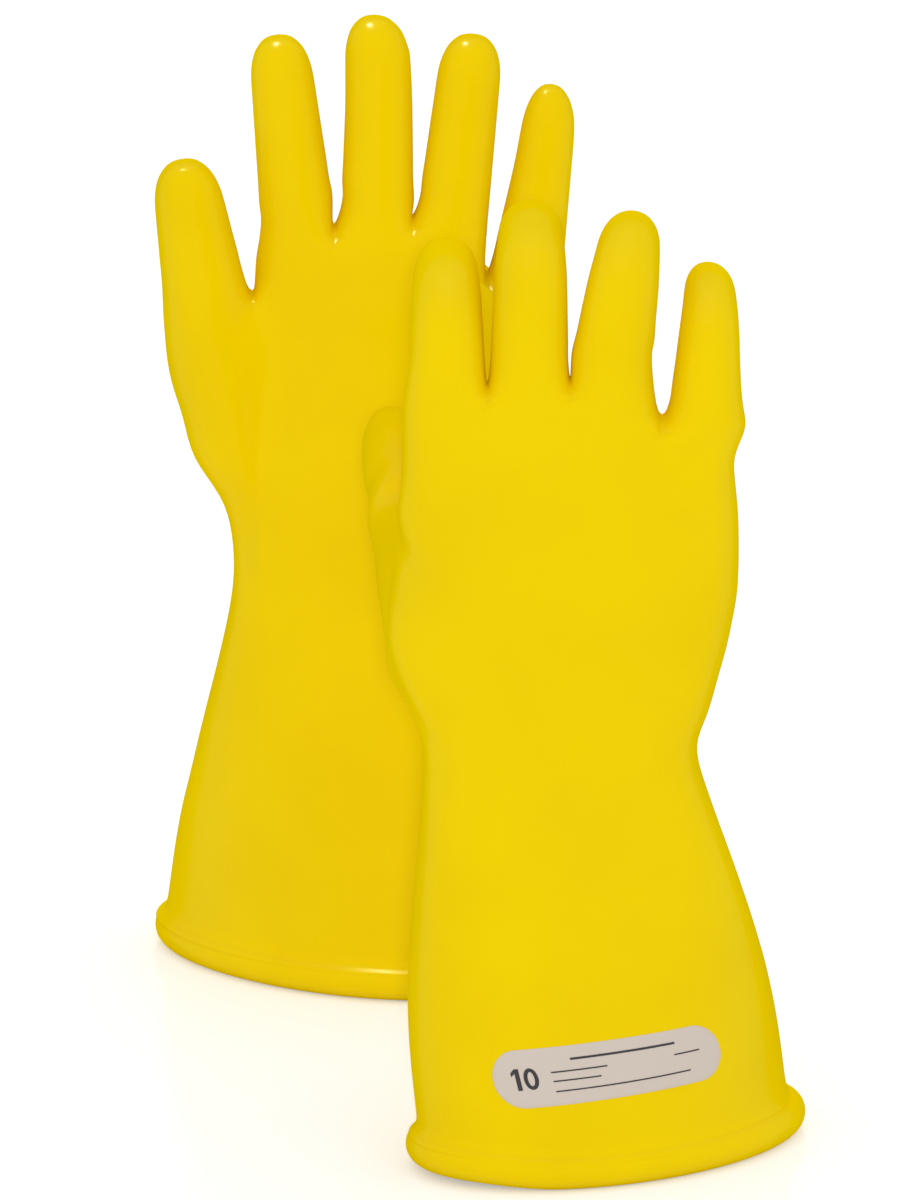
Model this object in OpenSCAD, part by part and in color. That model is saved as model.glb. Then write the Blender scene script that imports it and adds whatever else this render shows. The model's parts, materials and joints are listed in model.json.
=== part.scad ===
// A pair of electrical insulating gloves in dipped natural rubber, standing on their rolled cuff edges.
// Each glove is shaped once, as a right hand with its palm towards +Y, and the left one is its mirror
// image in Y. The origin is the middle of the right glove's cuff opening, at the floor.

/* [Rubber] */
// Thickness of the dipped rubber wall
wall = 0.75; // [0.5:0.05:1.2]
// Gap left where one segment of a finger meets the next
seam_gap = 0.3; // [0.2:0.05:0.6]
// Clearance between pieces of one glove that are bonded together
bond = 0.05; // [0.02:0.01:0.1]

/* [Cuff] */
// Height of the wrist above the floor
wrist_height = 148; // [120:1:260]
// Width of the oval cuff where it meets the rolled edge
cuff_width = 138; // [125:1:160]
// Depth of the oval cuff where it meets the rolled edge
cuff_depth = 76; // [66:1:100]
// How far the oval cuff is turned against the palm, in degrees
cuff_twist = 26; // [0:1:35]
// How early the cuff flares out of the wrist: more is later
cuff_flare = 1.4; // [1:0.1:2]

/* [Rolled edge] */
// Thickness of the roll
bead_size = 13; // [9:0.5:15]
// How far the middle of the roll lies inside the cuff's outer face
bead_inset = 1.2; // [0.5:0.1:2.5]
// Height of rubber lost to the flat that the roll stands on
bead_flat = 0.35; // [0.2:0.05:0.8]

/* [Hand] */
// Width at the wrist
wrist_width = 95; // [85:1:105]
// Depth at the wrist
wrist_depth = 45; // [38:1:55]
// Depth of the palm at the knuckles
knuckle_depth = 31; // [27:1:38]
// Rubber beside the outer fingers at the knuckles
palm_margin = 1.5; // [0.5:0.1:3]
// Height of the crotches above the wrist, index to middle and middle to ring
crotch_rise = 132; // [120:1:150]
// How much lower the crotch beside the little finger is
little_drop = 16; // [5:1:20]

/* [Fingers] */
// Width of the index, middle and ring fingers at the root
finger_width = 27; // [24:0.5:30]
// Width of the little finger at the root
little_width = 24; // [21:0.5:27]
// Depth of a finger at the root
finger_depth = 24; // [20:0.5:26]
// Gap between two fingers at their roots
finger_gap = 1.3; // [1:0.1:3]
// Gap between the ring finger and the little finger at their roots
little_gap = 4.8; // [3:0.1:7]
// Length of the index finger beyond its root
index_length = 64.5; // [50:0.5:80]
// Length of the middle finger beyond its root
middle_length = 71.5; // [55:0.5:90]
// Length of the ring finger beyond its root
ring_length = 64.5; // [50:0.5:85]
// Length of the little finger beyond its root
little_length = 65.5; // [45:0.5:75]
// Length of a rounded fingertip
fingertip_round = 17; // [12:0.5:20]

/* [Thumb] */
// Width of the thumb at its root
thumb_width = 30; // [26:0.5:34]
// Depth of the thumb at its root
thumb_depth = 27; // [23:0.5:30]
// Length of the thumb beyond its root
thumb_length = 49; // [38:0.5:60]
// Height of the thumb's root above the wrist
thumb_rise = 109; // [95:1:120]
// How much lower the root of the right thumb sits, because that thumb is held away behind the palm
thumb_lowered = 34; // [20:1:40]

/* [Pose at rest] */
// How far back the left glove stands behind the right one
left_back = 194.4; // [180:0.2:260]
// How far to the left the left glove stands
left_aside = 92.7; // [60:0.1:140]
// Bend of the right fingers towards the palm at the root, in degrees
right_lean = 12; // [0:1:20]
// Further bend of the right fingers along their length, in degrees
right_curl = 66; // [20:1:80]
// How far the left fingers stand back from the palm, in degrees
left_lean = 5; // [0:1:10]

/* [Label] */
// Length of the label round the cuff
label_length = 84; // [60:1:100]
// Height of the label
label_height = 19.5; // [14:0.5:24]
// Height of the label's middle above the floor
label_rise = 41.2; // [30:0.1:70]
// How far round the cuff the label sits towards the little finger's side
label_aside = 5.5; // [-10:0.5:15]
// Thickness of the label
label_thick = 0.3; // [0.2:0.05:0.6]

/* [Hidden] */

// Gloves, and what differs between them: the right hand leans towards its thumb, the left away from it
RIGHT = 0;
LEFT = 1;
side_sign = [1, -1];
place = [[0, 0, 0], [-left_aside, left_back, 0]];
wrist_shift = [-16, 8.3];
palm_shift = [-11.8, 26];
shift_curve = [1, 1.8];
drops = [little_drop, little_drop + 4];
// Fingertips draw in a little where the fingers are curled
tip_draw = [0.9, 1];

// Digits, in the order in which their values are listed
THUMB = 0;
INDEX = 1;
MIDDLE = 2;
RING = 3;
LITTLE = 4;

// Corners on a ring of the body, of a finger and of the label
body_sides = 32;
digit_sides = 16;
label_columns = 14;
label_rows = 6;

// Levels of rings
cuff_levels = 9;
hand_levels = 11;
base_levels = 4;
tip_levels = 3;
dome_levels = 5;

rubber_color = [0.94, 0.81, 0];
label_color = [0.84, 0.78, 0.75];

// ---- Widths and places that follow from the sizes above ----
widths = [thumb_width, finger_width, finger_width, finger_width, little_width];
// The little finger is a little thinner than the others
little_thinner = 2;
root_depths = [thumb_depth, finger_depth, finger_depth, finger_depth, finger_depth - little_thinner];
lengths = [thumb_length, index_length, middle_length, ring_length, little_length];
// Width near the tip and halfway, as a share of the root
taper_mid = [0.87, 0.9, 0.92, 0.9, 0.84];
taper_tip = [0.74, 0.8, 0.85, 0.8, 0.72];
// Share of each digit that lies below its middle joint
base_share = 0.46;

fingers_span = 3 * finger_width + little_width + 2 * finger_gap + little_gap;
palm_width = fingers_span + 2 * palm_margin;
// Distance across the palm from its middle line to the middle of each finger
finger_step = finger_width + finger_gap;
index_across = -fingers_span / 2 + finger_width / 2;
across = [0, index_across, index_across + finger_step, index_across + 2 * finger_step,
          fingers_span / 2 - little_width / 2];
crotch_height = wrist_height + crotch_rise;
// The root seams lie just above the crotches
root_above = 3;
function root_height(side, digit) = crotch_height + root_above - (digit == LITTLE ? drops[side] : 0);

// Pose of each digit, right glove then left: slant to the little finger's side, lean to the palm, and
// bend along the length, in degrees
slants = [[-9, 0, 2, 6, 1], [-8, -4.5, 0, 5.5, 5]];
lean_extra = [[60, 14, 3, 0, -1], [10, 0, 0, 0, 0]];
curl_extra = [[-46, 16, 13, 4, 14], [6, 2, 2, 2, 2]];
leans = [for (x = lean_extra[RIGHT]) right_lean + x];
leans_left = [for (x = lean_extra[LEFT]) x - left_lean];
curls = [for (x = curl_extra[RIGHT]) right_curl + x];
// Turn of the thumb's bending plane out of the palm's own, in degrees
thumb_roll = [75, 5];

// The fleshy base of the thumb, right glove then left: its width and depth at the foot and halfway
thumb_girth = [[32, 28], [35, 30]];
// Its middle line runs from inside the wrist to the thumb's root. It lies this far in from the side of the
// wrist or palm, and this far to the palm's side, at the foot, halfway and at the root
thumb_inside = [[16.5, 13.7, 4.2], [17.5, 10.2, 0.2]];
thumb_forward = [[2, 10, 50], [1, 4, 6]];
// Share of the root's height at which the foot and the middle lie
thumb_share = [[0.15, 0.51, 1], [0.165, 0.52, 1]];
thumb_rises = [thumb_rise - thumb_lowered, thumb_rise];
thumb_sides = [wrist_width / 2, palm_width / 2, palm_width / 2];
thumb_line = [for (side = [RIGHT, LEFT]) [for (k = [0 : 2])
  [thumb_inside[side][k] - thumb_sides[k], thumb_forward[side][k], thumb_share[side][k] * thumb_rises[side]]
]];
// How far the two halves of the base run into each other
thumb_lap = 3;

// Roll: the height of its middle, half the width of the flat that it stands on, and the seat on its top
// that the cuff stands on
bead_radius = bead_size / 2;
bead_middle = bead_radius - bead_flat;
flat_angle = acos(bead_middle / bead_radius);
seat_margin = wall / 2;
seat_outer = seat_margin;
seat_inner = -wall - seat_margin;
seat_angle = asin((seat_outer + bead_inset) / bead_radius);
seat_end_angle = asin((seat_inner + bead_inset) / bead_radius);
seat_height = bead_middle + bead_radius * cos(seat_angle);
cuff_end = seat_height + bond;
// Steps round each side of the roll, from the seat to the flat
bead_steps = 6;

// ---- Small vector and shape functions ----
function mix(a, b, t) = a + (b - a) * t;
function ease(t) = let (u = min(1, max(0, t))) u * u * (3 - 2 * u);
function curve(x, n) = sign(x) * pow(abs(x), 2 / n);
function unit(v) = v / norm(v);

// A point of the right hand's own frame, put where its glove stands
function put(side, p) = place[side] + [p[0], side_sign[side] * p[1], p[2]];

// ---- The body: cuff, wrist and palm as rounded oval rings ----
// How many times sooner the palm reaches its full width than its full height
palm_spread = 1.45;
// Roundness of the oval: 2 is an ellipse, and more is squarer
cuff_roundness = 2;
palm_roundness = 2.6;
digit_roundness = 2.3;
function cuff_out(z) = pow(sin(90 * (wrist_height - z) / (wrist_height - cuff_end)), cuff_flare);
function hand_up(z) = (z - wrist_height) / (crotch_height - wrist_height);
function half_width(z) =
  z < wrist_height
  ? mix(wrist_width, cuff_width, cuff_out(z)) / 2
  : mix(wrist_width, palm_width, sin(90 * min(1, palm_spread * hand_up(z)))) / 2;
function half_depth(z) =
  z < wrist_height
  ? mix(wrist_depth, cuff_depth, cuff_out(z)) / 2
  : mix(wrist_depth, knuckle_depth, hand_up(z)) / 2;
function twist(z) = z < wrist_height ? cuff_twist * ease((wrist_height - z) / (wrist_height - cuff_end)) : 0;
function shift(side, z) =
  z < wrist_height
  ? wrist_shift[side] * (1 - pow((wrist_height - z) / (wrist_height - cuff_end), shift_curve[side]))
  : mix(wrist_shift[side], palm_shift[side], hand_up(z));
function roundness(z) =
  mix(cuff_roundness, palm_roundness, ease((z - cuff_end) / (wrist_height - cuff_end)));

// One point of the body, at an angle round it, offset outwards
function body_point(side, angle, z, offset) =
  let (
    n = roundness(z),
    x = (half_width(z) + offset) * curve(cos(angle), n),
    y = (half_depth(z) + offset) * curve(sin(angle), n),
    a = twist(z)
  )
  [x * cos(a) - y * sin(a) + shift(side, z), x * sin(a) + y * cos(a), z];

function body_ring(side, z, offset) =
  [for (i = [0 : body_sides - 1]) put(side, body_point(side, 360 * i / body_sides, z, offset))];

// The top of the palm: it rounds in over the last stretch, and drops towards the little finger
top_round = 16;
top_start = crotch_height - top_round;
top_squeeze = 0.45;
top_dip = 1.5;
drop_start = across[RING] + finger_width / 4;
drop_stop = across[LITTLE] - little_width / 2;
function top_drop(side, x) =
  drops[side] * ease((x - palm_shift[side] - drop_start) / (drop_stop - drop_start));
function hand_ring(side, level, offset) =
  let (
    t = level / hand_levels,
    z = mix(wrist_height, crotch_height, t),
    over = max(0, (z - top_start) / top_round),
    squeeze = 1 - top_squeeze * over * over,
    dip = (top_dip - offset) * ease(over)
  )
  [for (i = [0 : body_sides - 1])
    let (
      p = body_point(side, 360 * i / body_sides, z, offset),
      q = [p[0], p[1] * squeeze, p[2] - top_drop(side, p[0]) * pow(t, 3) - dip]
    )
    put(side, q)
  ];

// ---- Digits: each has a root, a frame at its root, and rings along its bent middle line ----
function is_thumb(digit) = digit == THUMB;
function slant(side, digit) = slants[side][digit];
function lean(side, digit) = side == RIGHT ? leans[digit] : leans_left[digit];
function bend(side, digit) = side == RIGHT ? curls[digit] : curl_extra[LEFT][digit];
function roll(side, digit) = is_thumb(digit) ? thumb_roll[side] : 0;

function root(side, digit) =
  is_thumb(digit)
  ? [wrist_shift[side], 0, wrist_height] + thumb_line[side][2]
  : [palm_shift[side] + across[digit], 0, root_height(side, digit)];

function along(side, digit) =
  let (k = slant(side, digit), l = lean(side, digit))
  [sin(k), cos(k) * sin(l), cos(k) * cos(l)];
function flat_palmar(side, digit) = let (l = lean(side, digit)) [0, cos(l), -sin(l)];
function palmar(side, digit) =
  let (v = flat_palmar(side, digit), w = cross(v, along(side, digit)), r = roll(side, digit))
  unit(v * cos(r) + w * sin(r));
function sideways(side, digit) = cross(palmar(side, digit), along(side, digit));

function turn_at(side, digit, s) = bend(side, digit) * max(0, s) / lengths[digit];
// Point of the middle line at a distance from the root; below the root it runs straight on
function middle_line(side, digit, s) =
  let (
    d = along(side, digit),
    v = palmar(side, digit),
    k = bend(side, digit) / lengths[digit] * PI / 180,
    a = turn_at(side, digit, s),
    run = s <= 0 ? s : sin(a) / k,
    rise = s <= 0 ? 0 : (1 - cos(a)) / k
  )
  root(side, digit) + d * run + v * rise;
function palmar_at(side, digit, s) =
  let (a = turn_at(side, digit, s)) palmar(side, digit) * cos(a) - along(side, digit) * sin(a);

// Share of the root's width at a distance along the digit, with the rounded tip
function taper(side, digit, s) =
  let (t = min(1, max(0, s / lengths[digit])))
  t < 0.5
  ? mix(1, taper_mid[digit], t * 2)
  : mix(taper_mid[digit], taper_tip[digit] * tip_draw[side], t * 2 - 1);
function dome(digit, s, inset) =
  let (u = max(0, (s + fingertip_round - lengths[digit]) / (fingertip_round - inset)))
  sqrt(max(0, 1 - u * u));
function half_size(side, digit, s, inset, root_size) =
  (root_size / 2 * taper(side, digit, s) - inset) * dome(digit, s, inset);

function digit_ring(side, digit, s, half_w, half_d) =
  let (
    c = middle_line(side, digit, s),
    v = palmar_at(side, digit, s),
    w = sideways(side, digit)
  )
  [for (i = [0 : digit_sides - 1])
    let (a = 360 * i / digit_sides)
    let (x = half_w * curve(cos(a), digit_roundness), y = half_d * curve(sin(a), digit_roundness))
    put(side, c + w * x + v * y)
  ];
function plain_ring(side, digit, s, inset) =
  digit_ring(side, digit, s, half_size(side, digit, s, inset, widths[digit]),
             half_size(side, digit, s, inset, root_depths[digit]));

// ---- Faces ----
// Two triangles between corner i and the next one, from ring a to ring b of n corners
function band(a, b, n) =
  [for (i = [0 : n - 1])
    let (j = (i + 1) % n)
    each [[a + i, b + i, a + j], [a + j, b + i, b + j]]
  ];
function turned(faces) = [for (f = faces) [f[2], f[1], f[0]]];
function faced(side, faces) = side_sign[side] > 0 ? faces : turned(faces);

// A closed loop of rings, each with n corners, where the last ring meets the first
module ring_of_rings(side, rings, n) {
  count = len(rings);
  faces = [for (k = [0 : count - 1]) each band(k * n, ((k + 1) % count) * n, n)];
  polyhedron(points = [for (r = rings) each r], faces = faced(side, faces), convexity = 6);
}

// A solid through a list of rings, closed by a fan from the middle of each end ring
module lofted(side, rings, n) {
  count = len(rings);
  points = [for (r = rings) each r];
  low = count * n;
  low_point = centre(rings[0]);
  high_point = centre(rings[count - 1]);
  sides = [for (k = [0 : count - 2]) each band(k * n, (k + 1) * n, n)];
  low_fan = [for (i = [0 : n - 1]) [low, i, (i + 1) % n]];
  last = (count - 1) * n;
  high_fan = [for (i = [0 : n - 1]) [low + 1, last + (i + 1) % n, last + i]];
  polyhedron(points = concat(points, [low_point, high_point]),
             faces = faced(side, concat(sides, low_fan, high_fan)), convexity = 6);
}
function centre(ring) = [for (k = [0 : 2]) sum_of(ring, k) / len(ring)];
function sum_of(ring, k, i = 0) = i == len(ring) ? 0 : ring[i][k] + sum_of(ring, k, i + 1);

// A blind tube: outer rings up to a tip, then inner rings down from their own tip
module blind_tube(side, outer, inner, outer_tip, inner_tip, n) {
  count = len(outer);
  points = concat([for (r = outer) each r], [for (r = inner) each r], [outer_tip, inner_tip]);
  start = count * n;
  last = (count - 1) * n;
  out_sides = [for (k = [0 : count - 2]) each band(k * n, (k + 1) * n, n)];
  in_sides = [for (k = [0 : count - 2]) each turned(band(start + k * n, start + (k + 1) * n, n))];
  rim = turned(band(0, start, n));
  out_fan = [for (i = [0 : n - 1]) [2 * start, last + (i + 1) % n, last + i]];
  in_fan = [for (i = [0 : n - 1]) [2 * start + 1, start + last + i, start + last + (i + 1) % n]];
  polyhedron(points = points, faces = faced(side, concat(out_sides, in_sides, rim, out_fan, in_fan)),
             convexity = 6);
}

// ---- Sub-parts ----
module cuff(side) {
  heights = [for (k = [0 : cuff_levels]) mix(cuff_end, wrist_height - bond, k / cuff_levels)];
  outer = [for (z = heights) body_ring(side, z, 0)];
  inner = [for (k = [cuff_levels : -1 : 0]) body_ring(side, heights[k], -wall)];
  color(rubber_color) ring_of_rings(side, concat(outer, inner), body_sides);
}

// The roll's section: down its outer side from the cuff's seat to the flat, and up its inner side
function roll_point(a) = [bead_radius * sin(a) - bead_inset, bead_middle + bead_radius * cos(a)];
function bead_section() =
  concat(
    [for (k = [0 : bead_steps - 1]) roll_point(mix(seat_angle, 180 - flat_angle, k / bead_steps))],
    [[bead_radius * sin(flat_angle) - bead_inset, 0], [-bead_radius * sin(flat_angle) - bead_inset, 0]],
    [for (k = [1 : bead_steps - 1]) roll_point(mix(180 + flat_angle, 360 + seat_end_angle, k / bead_steps))],
    [[seat_inner, seat_height]]
  );
function bead_ring(side, offset, z) =
  [for (i = [0 : body_sides - 1])
    let (p = body_point(side, 360 * i / body_sides, cuff_end, offset)) put(side, [p[0], p[1], z])
  ];
module bead(side) {
  rings = [for (p = bead_section()) bead_ring(side, p[0], p[1])];
  color(rubber_color) ring_of_rings(side, [for (k = [len(rings) - 1 : -1 : 0]) rings[k]], body_sides);
}

// The solid form of the hand, grown or shrunk by an inset: palm, finger stubs and the base of the thumb
stub_depth = 22;
stub_cover = 1.5;
// The foot of a finger's stub is level and hidden inside the palm. Its corners lie half a step round from
// those of the palm, so that no edge of the one runs along an edge of the other
function stub_foot(side, digit, inset) =
  let (
    r = root(side, digit),
    half_w = widths[digit] / 2 - stub_cover - inset,
    half_d = knuckle_depth / 2 - stub_cover - inset
  )
  [for (i = [0 : digit_sides - 1])
    let (a = 360 * (i + 0.5) / digit_sides)
    put(side, [r[0] + half_w * cos(a), r[1] + half_d * sin(a), r[2] - stub_depth])
  ];
module digit_stub(side, digit, inset, reach) {
  hull() {
    lofted(side, [stub_foot(side, digit, inset), plain_ring(side, digit, reach, inset)], digit_sides);
  }
}
function thumb_ring(side, k, inset, back = 0) =
  let (
    a = k == 0 ? [0, 0, 1] : unit(thumb_line[side][k + 1] - thumb_line[side][k - 1]),
    foot = [wrist_shift[side], 0, wrist_height] + thumb_line[side][k] - a * back,
    w = unit(cross([0, 1, 0], a)),
    half_w = thumb_girth[k][0] / 2 - inset,
    half_d = thumb_girth[k][1] / 2 - inset
  )
  [for (i = [0 : digit_sides - 1])
    let (t = 360 * i / digit_sides)
    put(side, foot + w * (half_w * cos(t)) + cross(a, w) * (half_d * sin(t)))
  ];
module thumb_stub(side, inset, reach) {
  hull() {
    lofted(side, [thumb_ring(side, 0, inset), thumb_ring(side, 1, inset)], digit_sides);
  }
  hull() {
    lofted(side, [thumb_ring(side, 1, inset, thumb_lap), plain_ring(side, THUMB, reach, inset)], digit_sides);
  }
}
module hand_form(side, inset, reach) {
  rings = [for (k = [0 : hand_levels]) hand_ring(side, k, -inset)];
  foot = [for (p = rings[0]) p - [0, 0, reach]];
  lofted(side, inset > 0 ? concat([foot], rings) : rings, body_sides);
  for (digit = [INDEX, MIDDLE, RING, LITTLE]) {
    digit_stub(side, digit, inset, reach);
  }
  thumb_stub(side, inset, reach);
}
module hand(side) {
  color(rubber_color) difference() {
    hand_form(side, 0, 0);
    hand_form(side, wall, 1);
  }
}

// The segment of a digit from its root seam to its middle seam
module digit_base(side, digit) {
  top = base_share * lengths[digit] - seam_gap / 2;
  steps = [for (k = [0 : base_levels]) mix(seam_gap, top, k / base_levels)];
  outer = [for (s = steps) plain_ring(side, digit, s, 0)];
  inner = [for (k = [base_levels : -1 : 0]) plain_ring(side, digit, steps[k], wall)];
  color(rubber_color) ring_of_rings(side, concat(outer, inner), digit_sides);
}

// The segment from the middle seam to the rounded tip. The last ring lies this far round the dome
dome_angle = 82;
function tip_steps(digit, inset) =
  let (low = base_share * lengths[digit] + seam_gap / 2, shoulder = lengths[digit] - fingertip_round)
  concat(
    [for (k = [0 : tip_levels]) mix(low, shoulder, k / tip_levels)],
    [for (k = [1 : dome_levels]) shoulder + (fingertip_round - inset) * sin(dome_angle * k / dome_levels)]
  );
module digit_tip(side, digit) {
  outer = [for (s = tip_steps(digit, 0)) plain_ring(side, digit, s, 0)];
  inner = [for (s = tip_steps(digit, wall)) plain_ring(side, digit, s, wall)];
  color(rubber_color)
    blind_tube(side, outer, inner, put(side, middle_line(side, digit, lengths[digit])),
               put(side, middle_line(side, digit, lengths[digit] - wall)), digit_sides);
}

// The label: a patch with round ends that lies on the back of the cuff
function label_angle() =
  let (z = label_rise, a = twist(z)) -180 + atan2(half_width(z) * cos(a), half_depth(z) * sin(a));
function cuff_speed(t) =
  norm([half_width(label_rise) * sin(t), half_depth(label_rise) * cos(t)]) * PI / 180;
// Angle round the cuff after a distance u along its face, in even steps
walk_steps = 20;
function walk(u, t, left = walk_steps) =
  left == 0 ? t : walk(u * (left - 1) / left, t + u / left / cuff_speed(t), left - 1);
function label_point(side, row, column, offset) =
  let (
    half = label_height / 2,
    up = -half * cos(180 * row / label_rows),
    end = label_length / 2 - half + sqrt(max(0, half * half - up * up)),
    u = mix(-end, end, column / label_columns)
  )
  put(side, body_point(side, walk(u + label_aside, label_angle()), label_rise + up, offset));
module label(side) {
  columns = label_columns + 1;
  count = columns * (label_rows + 1);
  grid = function (offset) [for (r = [0 : label_rows]) for (c = [0 : label_columns])
                            label_point(side, r, c, offset)];
  at = function (r, c) r * columns + c;
  face = [for (r = [0 : label_rows - 1]) for (c = [0 : label_columns - 1])
    each [[at(r, c), at(r + 1, c), at(r, c + 1)], [at(r, c + 1), at(r + 1, c), at(r + 1, c + 1)]]];
  edge = concat(
    [for (c = [0 : label_columns - 1]) at(0, c)],
    [for (r = [0 : label_rows - 1]) at(r, label_columns)],
    [for (c = [label_columns : -1 : 1]) at(label_rows, c)],
    [for (r = [label_rows : -1 : 1]) at(r, 0)]
  );
  rim = [for (i = [0 : len(edge) - 1])
    let (a = edge[i], b = edge[(i + 1) % len(edge)])
    each [[a, b, a + count], [b, b + count, a + count]]];
  color(label_color)
    polyhedron(points = concat(grid(bond + label_thick), grid(bond)),
               faces = faced(side, concat(face, [for (f = turned(face)) f + [count, count, count]], rim)),
               convexity = 4);
}

cuff(RIGHT);  // right_cuff
bead(RIGHT);  // right_bead
hand(RIGHT);  // right_hand
label(RIGHT);  // right_label
digit_base(RIGHT, THUMB);  // right_thumb_base
digit_tip(RIGHT, THUMB);  // right_thumb_tip
digit_base(RIGHT, INDEX);  // right_index_base
digit_tip(RIGHT, INDEX);  // right_index_tip
digit_base(RIGHT, MIDDLE);  // right_middle_base
digit_tip(RIGHT, MIDDLE);  // right_middle_tip
digit_base(RIGHT, RING);  // right_ring_base
digit_tip(RIGHT, RING);  // right_ring_tip
digit_base(RIGHT, LITTLE);  // right_little_base
digit_tip(RIGHT, LITTLE);  // right_little_tip
cuff(LEFT);  // left_cuff
bead(LEFT);  // left_bead
hand(LEFT);  // left_hand
label(LEFT);  // left_label
digit_base(LEFT, THUMB);  // left_thumb_base
digit_tip(LEFT, THUMB);  // left_thumb_tip
digit_base(LEFT, INDEX);  // left_index_base
digit_tip(LEFT, INDEX);  // left_index_tip
digit_base(LEFT, MIDDLE);  // left_middle_base
digit_tip(LEFT, MIDDLE);  // left_middle_tip
digit_base(LEFT, RING);  // left_ring_base
digit_tip(LEFT, RING);  // left_ring_tip
digit_base(LEFT, LITTLE);  // left_little_base
digit_tip(LEFT, LITTLE);  // left_little_tip
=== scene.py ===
import json
import math
import bpy
import numpy as np
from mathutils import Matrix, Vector
from mathutils.bvhtree import BVHTree


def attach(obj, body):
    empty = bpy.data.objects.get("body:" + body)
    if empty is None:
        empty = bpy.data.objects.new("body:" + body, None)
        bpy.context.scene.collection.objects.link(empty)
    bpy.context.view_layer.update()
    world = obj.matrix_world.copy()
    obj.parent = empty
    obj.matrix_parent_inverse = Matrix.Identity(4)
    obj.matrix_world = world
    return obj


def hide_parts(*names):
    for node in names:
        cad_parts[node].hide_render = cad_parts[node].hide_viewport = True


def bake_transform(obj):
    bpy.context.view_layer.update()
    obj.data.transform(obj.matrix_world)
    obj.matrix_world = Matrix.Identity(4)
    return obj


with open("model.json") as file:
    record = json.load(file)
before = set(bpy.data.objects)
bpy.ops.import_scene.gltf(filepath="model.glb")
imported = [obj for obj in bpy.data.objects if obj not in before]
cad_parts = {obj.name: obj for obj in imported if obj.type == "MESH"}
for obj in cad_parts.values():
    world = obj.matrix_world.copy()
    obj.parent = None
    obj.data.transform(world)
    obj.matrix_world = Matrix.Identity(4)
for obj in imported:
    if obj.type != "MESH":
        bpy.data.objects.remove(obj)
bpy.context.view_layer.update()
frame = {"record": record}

mounts = {mount["name"]: mount for mount in frame["record"]["mounts"]}

# Sizes are in millimetres, in a frame where each glove is a right hand with its palm towards +Y.
# A left glove is the same hand mirrored in Y.
mm = 0.001
hand = {
    "wristHeight": 148,
    "crotchHeight": 280,
    "rootRise": 3,  # the fingers' roots stand this far above the crotches
    "cuffEnd": 12.5,  # where the cuff's wall comes out of the rolled edge
    "cuffWidth": 138,
    "cuffDepth": 76,
    "cuffFlare": 1.4,  # the more, the nearer to the mouth the cuff flares
    "wristWidth": 95,
    "wristDepth": 45,
    "palmWidth": 115.4,
    "palmSpread": 1.45,  # the more, the sooner the palm is at its full width
    "palmRound": 2.6,  # how square the palm's oval is: 2 is an ellipse
    "knuckleDepth": 31,
    "tipLength": 17,  # the rounded end of each digit
    "wall": 0.75,
}
digitNames = ["thumb", "index", "middle", "ring", "little"]
# Each digit's size at its root, the share of it that is left halfway and at the end, and its place across
# the palm.
digits = {
    "thumb": {"width": 30, "depth": 27, "length": 49, "middle": 0.87, "end": 0.74},
    "index": {"width": 27, "depth": 24, "length": 64.5, "middle": 0.9, "end": 0.8, "across": -42.7},
    "middle": {"width": 27, "depth": 24, "length": 71.5, "middle": 0.92, "end": 0.85, "across": -14.4},
    "ring": {"width": 27, "depth": 24, "length": 64.5, "middle": 0.9, "end": 0.8, "across": 13.9},
    "little": {"width": 24, "depth": 22, "length": 65.5, "middle": 0.84, "end": 0.72, "across": 44.2},
}
# The right hand is relaxed, with curled fingers. The left one is nearly straight. Angles are in degrees, and
# the lists start at the thumb.
poses = {
    "right": {
        "flip": 1,  # -1 mirrors the hand in Y
        "cuffTwist": 23,  # how far the mouth's oval is turned
        "mouthShift": 0.9,  # how far the mouth, the wrist and the palm stand to the side
        "wristShift": -16,
        "palmShift": -11.8,
        "shiftCurve": 1,  # the more, the nearer to the mouth the cuff moves over
        "mouthRound": 1.97,  # how square the mouth's oval is
        "mouthLift": 2.2,  # how far the mouth turns up near the thumb's side
        "drop": 16,  # how much lower the little finger's root is
        "draw": 0.9,  # how much of its end's size each digit keeps
        "slant": [-9, 0, 2, 6, 1],
        "lean": [72, 26, 15, 12, 11],
        "curl": [20, 82, 79, 70, 80],
        "roll": 75,  # how far the thumb is turned about its own length
        "thumbRoot": (-69.5, 50, 223),
    },
    "left": {
        "flip": -1,
        "cuffTwist": 26,
        "mouthShift": 0,
        "wristShift": 8.3,
        "palmShift": 26,
        "shiftCurve": 1.8,
        "mouthRound": 2,
        "mouthLift": 0,
        "drop": 20,
        "draw": 1,
        "slant": [-8, -4.5, 0, 5.5, 5],
        "lean": [5, -5, -5, -5, -5],
        "curl": [6, 2, 2, 2, 2],
        "roll": 5,
        "thumbRoot": (-49.2, 6, 257),
    },
}


def mix(a, b, t):
    return a + (b - a) * t


def ease(t):
    t = min(1, max(0, t))
    return t * t * (3 - 2 * t)


def power(x, n):
    return math.copysign(abs(x) ** (2 / n), x)


# The two shares of an oval's half width and half depth at an angle in degrees.
def ovalShares(degrees, roundness):
    angle = math.radians(degrees)
    return power(math.cos(angle), roundness), power(math.sin(angle), roundness)


def unit(v):
    return v / np.linalg.norm(v)


def put(side, p):
    x, y, z = mounts[side + "_cuff_opening"]["pos_m"]
    return np.array([x + p[0] * mm, y + poses[side]["flip"] * p[1] * mm, z + p[2] * mm])


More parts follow.
